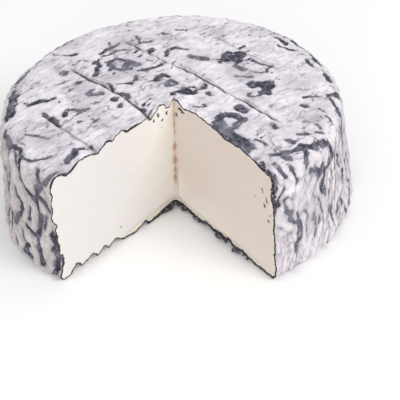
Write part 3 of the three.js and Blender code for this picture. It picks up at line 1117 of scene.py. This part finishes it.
def makeCutFace(side, points, rim, line):
    # rim: point numbers from the foot's tip round to the top's tip; line: those up the tip line
    facing = leftFacing if side == "left" else rightFacing
    direction = np.array([math.cos(facing), math.sin(facing)])
    foot, top = points[rim[0]], points[rim[-1]]

    def axisAt(z):
        share = (z - foot[2]) / (top[2] - foot[2])
        return foot[:2] + np.outer(share, top[:2] - foot[:2])

    def flatten(numbers):
        spots = points[numbers]
        return np.stack((((spots[:, :2] - axisAt(spots[:, 2])) * direction).sum(1), spots[:, 2]), 1)

    loop = list(rim) + list(line)[::-1]
    outline = flatten(loop)
    rimFlat = outline[: len(rim)]
    gap = cells["paste"]
    rows = np.arange(outline[:, 1].min(), outline[:, 1].max(), gap * cells["pasteRows"])
    spots = []
    for i, row in enumerate(rows):
        run = np.arange(0.2, outline[:, 0].max(), gap) + (gap / 2 if i % 2 else 0)
        spots += [(u, row) for u in run]
    spots = np.array(spots)
    spots = spots[insideOf(outline, spots)]
    clear = awayFrom(np.vstack((outline, outline[:1])), spots)[0]
    spots = spots[clear > gap * 0.5]
    flat = np.vstack((outline, spots))
    numbers = np.array(loop + list(range(len(points), len(points) + len(spots))))
    found = delaunay_2d_cdt([tuple(p) for p in flat.tolist()], [], [list(range(len(loop)))], 1, 1e-7)
    origin = [source[0] for source in found[3]]
    faces = [tuple(int(numbers[origin[i]]) for i in face) for face in found[2]]
    (ax, ay), (bx, by), (cx, cy) = flat[[origin[i] for i in found[2][0]]]
    turns = (bx - ax) * (cy - ay) - (by - ay) * (cx - ax) > 0
    # seen from outside, distance runs to the right on the right face and to the left on the left one
    if turns != (side == "right"):
        faces = [face[::-1] for face in faces]
    u, z = spots.T
    normal = np.array([-direction[1], direction[0]]) * (1 if side == "left" else -1)
    sunk = paste["dragMarks"] * waver(u, z * 2.5, 16, 6.0 if side == "left" else 8.0)
    inCream = np.clip((along(paste["cream"][side], u) - z) / 1.2 + 0.5, 0, 1)
    sunk = sunk - paste["creamStep"] * inCream
    if side == "right":
        out, up, halfWidth, halfHeight, rise = paste["lobe"]
        sunk = sunk + rise * np.exp(-(((u - out) / halfWidth) ** 2) - ((z - up) / halfHeight) ** 4)
    fade = np.clip(awayFrom(rimFlat, spots)[0] / 1.5, 0, 1) * np.clip(u / 1.5, 0, 1)
    places = axisAt(z) + np.outer(u, direction) + np.outer(sunk * fade, normal)
    return np.column_stack((places, z)), faces, numbers, flat, rimFlat


def pasteValues(side, flat, rimFlat):
    # what the paste's colours need to know at each point, out from the tip line and up
    u, z = flat.T
    gap, nearest = awayFrom(rimFlat, flat)
    radial, height = rimFlat[nearest].T
    topShare = np.clip((height - (wheel["height"] - wheel["topEdge"] * 0.7)) / 3, 0, 1)
    footShare = np.clip(1 - (height - 1) / 4, 0, 1) * (radial < wheel["baseRadius"] - 14)
    thick = along(crust[side + "Side"], height) * (1 - topShare) * (1 - footShare)
    thick = thick + topShare * along(crust[side + "Top"], radial)
    thick = thick + footShare * along(crust[side + "Foot"], radial)
    cream = np.clip((along(paste["cream"][side], u) - z) / 1.6 + 0.5, 0, 1)
    if side == "right":
        underRind = np.clip(1 - gap / 4.5, 0, 1) * 0.55 * np.clip((z - 2) / 8, 0, 1) * (u > 40)
        cream = np.maximum(cream, underRind)
        # painted light: paler near the tip line and, most, near the foot by the inner corner
        nearTip = 0.12 * np.exp(-((u / 12) ** 2))
        pale = np.maximum(nearTip, 0.95 * np.exp(-((z / 15) ** 2)) * np.exp(-((u / 45) ** 2)))
    else:
        # painted light: paler near the tip line, in the inner corner
        pale = 0.95 * np.exp(-((u / 17) ** 2))
    above = np.clip((z - paste["crackFoot"]) / 3, 0, 1)
    crack = np.clip(1.15 - u / paste["crackReach"], 0, 1) * 0.6 * above
    for middle, size in paste["crackSpots"]:
        crack = np.maximum(crack, 0.9 * np.clip(1.2 - np.hypot(u * 1.3, (z - middle) * 0.5) / size, 0, 1))
    return {
        "pasteDepth": gap - thick,
        "cream": cream,
        "crack": crack,
        "warmth": np.full_like(u, paste["warmth"][side]),
        "pale": pale,
        "flecks": strokeDepth(u, z, paste["flecks"][side]),
    }


crumbs = {
    "Spacing": 1.3,  # mm between crumbs along the edge
    "Smallest": 0.4,
    "Largest": 1.5,
    "Scatter": 0.8,
    "Seed": 7,
}
crumbsClear = 0.05  # mm that they stay above the table
crumbRuns = [
    # which cut edge, which part of it, and mm out or up where a run of flakes begins and ends
    ("right", "foot", 0, 9),
    ("right", "foot", 11, 16),
    ("right", "foot", 18, 22),
    ("right", "foot", 26, 33),
    ("right", "foot", 36, 40),
    ("right", "foot", 43, 47),
    ("left", "foot", 0, 9),
    ("right", "top", 50, 60),
    ("right", "side", 38, 47),
]


def randomBetween(tree, low, high, seed):
    node = tree.nodes.new("FunctionNodeRandomValue")
    node.data_type = "FLOAT_VECTOR" if isinstance(low, tuple) else "FLOAT"
    first = 0 if isinstance(low, tuple) else 2
    feed(tree, node.inputs[first], low)
    feed(tree, node.inputs[first + 1], high)
    feed(tree, node.inputs["Seed"], seed)
    return node.outputs[first // 2]


def makeCrumbTree():
    # dark flakes of crust along a run of edge
    tree, given = startTree("crumbTrail", crumbs, "Crust")
    seed = given["Seed"]
    spaced = tree.nodes.new("GeometryNodeResampleCurve")
    spaced.mode = "LENGTH"
    feed(tree, spaced.inputs["Curve"], addNode(tree, "GeometryNodeMeshToCurve", given["Geometry"]).outputs[0])
    feed(tree, spaced.inputs["Length"], calc(tree, "MULTIPLY", given["Spacing"], toMetres))
    lowest, highest = (-toMetres, -toMetres, -toMetres * 0.6), (toMetres, toMetres, toMetres * 0.9)
    jitter = randomBetween(tree, lowest, highest, seed)
    loose = moveBy(tree, spaced.outputs[0], scaleVector(tree, jitter, given["Scatter"]))

    crumb = tree.nodes.new("GeometryNodeMeshIcoSphere")
    crumb.inputs["Radius"].default_value = toMetres
    crumb.inputs["Subdivisions"].default_value = 2
    position = tree.nodes.new("GeometryNodeInputPosition").outputs[0]
    bumps = cloud(tree, position, 900.0, 2.0, 0.6, colour=True)
    dent = addNode(tree, "ShaderNodeVectorMath", bumps, (0.5, 0.5, 0.5), operation="SUBTRACT").outputs[0]
    dented = moveBy(tree, crumb.outputs["Mesh"], scaleVector(tree, dent, 1.5 * toMetres))

    copies = tree.nodes.new("GeometryNodeInstanceOnPoints")
    feed(tree, copies.inputs["Points"], loose)
    feed(tree, copies.inputs["Instance"], dented)
    turn = randomBetween(tree, (0.0, 0.0, 0.0), (6.28, 6.28, 6.28), calc(tree, "ADD", seed, 1.0))
    feed(tree, copies.inputs["Rotation"], turn)
    size = randomBetween(tree, given["Smallest"], given["Largest"], calc(tree, "ADD", seed, 2.0))
    feed(tree, copies.inputs["Scale"], joinXyz(tree, size, size, calc(tree, "MULTIPLY", size, 0.6)))
    return finishTree(tree, copies.outputs[0], given["Crust"])


def edgeRun(points, side, part, start, end):
    facing = leftFacing if side == "left" else rightFacing
    spots = points[cutEdges[side]]
    tipX, tipY = tipAt(spots[:, 2])
    out = (spots[:, 0] - tipX) * math.cos(facing) + (spots[:, 1] - tipY) * math.sin(facing)
    onFoot = spots[:, 2] < 6
    onTop = spots[:, 2] > wheel["height"] - 8
    keep = {"foot": onFoot, "top": onTop, "side": ~onFoot & ~onTop}[part]
    measure = spots[:, 2] if part == "side" else out
    return spots[keep & (measure >= start) & (measure <= end)]


def makeCrumbs(points):
    spots, edges = [], []
    for run in crumbRuns:
        stretch = edgeRun(points, *run).tolist()
        edges += [(len(spots) + i, len(spots) + i + 1) for i in range(len(stretch) - 1)]
        spots += stretch
    mesh = bpy.data.meshes.new("crumbRuns")
    mesh.from_pydata([tuple(c * toMetres for c in spot) for spot in spots], edges, [])
    return runTree(mesh, makeCrumbTree(), crumbs, crustMaterial, "Crust")


# everything in one piece

# where each part of the skin lies on the flat map, in shares of its width
sheet = {
    "mmPerSheet": 269.5,
    "top": (0.278, 0.278),
    "foot": (0.83, 0.71),
    "footScale": 0.55,
    "sideRows": (0.575, 0.775),
    "left": (0.575, 0.01),
    "right": (0.575, 0.29),
    "faceScale": 1.28,
    "margin": 0.01,
    "crumbs": (0.93, 0.01),
    "crumbCell": 0.011,
    "crumbColumns": 6,
    "crumbGrid": (7, 6),  # each crumb's 42 points, spread over its own cell
}
# the rind's values on the cut faces and the crumbs
offRind = {"ash": 2.0, "creaseAway": 30.0, "creaseShare": 0.0, "topShare": 0.0, "lively": 0.5, "lift": 0.0}


def buildWheel():
    points = reliefPoints
    line = tipLine(points, cutEdges["left"][0], cutEdges["left"][-1])
    lineNumbers = list(range(len(points), len(points) + len(line)))
    points = np.vstack((points, line))
    faces, kinds = list(rindFaces), list(rindKinds)
    charts, pasted = {}, []
    for side in ("left", "right"):
        newPoints, newFaces, numbers, flat, rimFlat = makeCutFace(side, points, cutEdges[side], lineNumbers)
        pasted.append((numbers, pasteValues(side, flat, rimFlat)))
        charts[side] = dict(zip(numbers.tolist(), flat.tolist()))
        points = np.vstack((points, newPoints))
        faces += newFaces
        kinds += [side] * len(newFaces)
    body = len(points)
    crumbMesh = makeCrumbs(points)
    crumbPoints = readPoints(crumbMesh)
    crumbPoints[:, 2] = np.maximum(crumbPoints[:, 2], crumbsClear)
    crumbFaces = [tuple(i + body for i in face.vertices) for face in crumbMesh.polygons]
    points = np.vstack((points, crumbPoints))
    faces += crumbFaces
    kinds += ["crumb"] * len(crumbFaces)

    values = {}
    for key, fill in offRind.items():
        values[key] = np.full(len(points), fill)
        values[key][: len(reliefPoints)] = surface[key]
    for key in pasted[0][1]:
        values[key] = np.zeros(len(points))
        for numbers, known in pasted:
            # where the two faces meet, each point takes the mean of both
            here = values[key][numbers]
            values[key][numbers] = np.where(here == 0, known[key], (here + known[key]) / 2)
    print("cut faces and crumbs:", len(points), "points,", len(faces), "faces,", len(crumbFaces), "in crumbs")
    return points, faces, kinds, values, charts, body


def flatMap(points, faces, kinds, charts, body):
    # every corner's place on the sheet
    reach = sheet["mmPerSheet"]
    around = surface["sideways"]
    half = (around.min() + around.max()) / 2
    across, down = sheet["crumbGrid"]
    crumbStart, crumbCell = sheet["crumbs"], sheet["crumbCell"]
    places = []
    for face, kind in zip(faces, kinds):
        if kind in ("top", "foot"):
            scale = 1 if kind == "top" else sheet["footScale"]
            middleU, middleV = sheet[kind]
            for i in face:
                x, y = points[i][:2] / reach * scale
                places.append((middleU + x, middleV + y))
        elif kind == "side":
            row = int(sum(around[i] for i in face) / len(face) > half)
            start = half if row else around.min()
            rise = sheet["sideRows"][row]
            for i in face:
                places.append((sheet["margin"] + (around[i] - start) / reach, rise + points[i][2] / reach))
        elif kind in ("left", "right"):
            startU, startV = sheet[kind]
            scale = sheet["faceScale"] / reach
            for i in face:
                out, up = charts[kind][i]
                places.append((startU + out * scale, startV + up * scale))
        else:
            row, column = divmod((face[0] - body) // (across * down), sheet["crumbColumns"])
            for i in face:
                gridRow, gridColumn = divmod((i - body) % (across * down), across)
                u = crumbStart[0] + (column + 0.15 + 0.7 * gridColumn / (across - 1)) * crumbCell
                v = crumbStart[1] + (row + 0.15 + 0.7 * gridRow / (down - 1)) * crumbCell
                places.append((u, v))
    return np.array(places, np.float32)


def finishWheel():
    points, faces, kinds, values, charts, body = buildWheel()
    mesh = plainMesh("cheeseWheel", points + place, faces, values)
    mesh.materials.append(rindMaterial)
    mesh.materials.append(pasteMaterial)
    mesh.materials.append(crustMaterial)
    slots = {"left": 1, "right": 1, "crumb": 2}
    mesh.polygons.foreach_set("material_index", [slots.get(kind, 0) for kind in kinds])
    uvLayer = mesh.uv_layers.new(name="OFBake")
    uvLayer.data.foreach_set("uv", flatMap(points, faces, kinds, charts, body).ravel())
    mesh.polygons.foreach_set("use_smooth", [True] * len(faces))
    mesh.set_sharp_from_angle(angle=math.radians(55))
    mesh.update()
    piece = bpy.data.objects.new("cheeseWheel", mesh)
    bpy.context.scene.collection.objects.link(piece)
    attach(piece, "root")
    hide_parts("cheese_wheel")
    return piece


finishWheel()
print("wheel finished")
